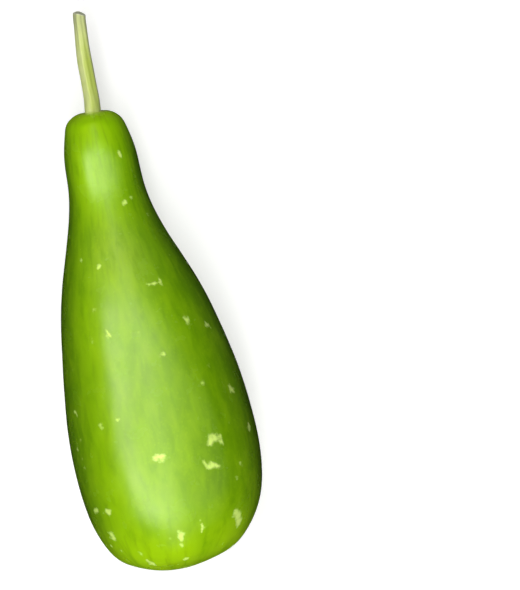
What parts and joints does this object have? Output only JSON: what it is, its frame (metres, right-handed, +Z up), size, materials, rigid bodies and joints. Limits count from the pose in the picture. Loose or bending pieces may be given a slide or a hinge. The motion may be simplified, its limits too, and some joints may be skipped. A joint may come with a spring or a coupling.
{
  "type": "bottle gourd",
  "caption": "Long pear-shaped bottle gourd with a narrow neck and a cut stem, lying on its belly; a green vegetable to rest on a table, counter or shelf.",
  "frame": {"origin": "middle of the small flat spot that the gourd rests on, close under its centre of mass", "axes": "+Z up, +Y along the gourd from the blossom end to the stem, +X to the right seen from above with the stem pointing away"},
  "size_m": [0.115, 0.3441, 0.1151],
  "materials": {
    "skin": "waxy fresh green plant skin with pale flecks, satin gloss",
    "stem": "matt pale green plant stem with soft lengthwise ridges"
  },
  "bodies": {
    "root": {"fruit": "skin", "stem": "stem"}
  },
  "joints": []
}
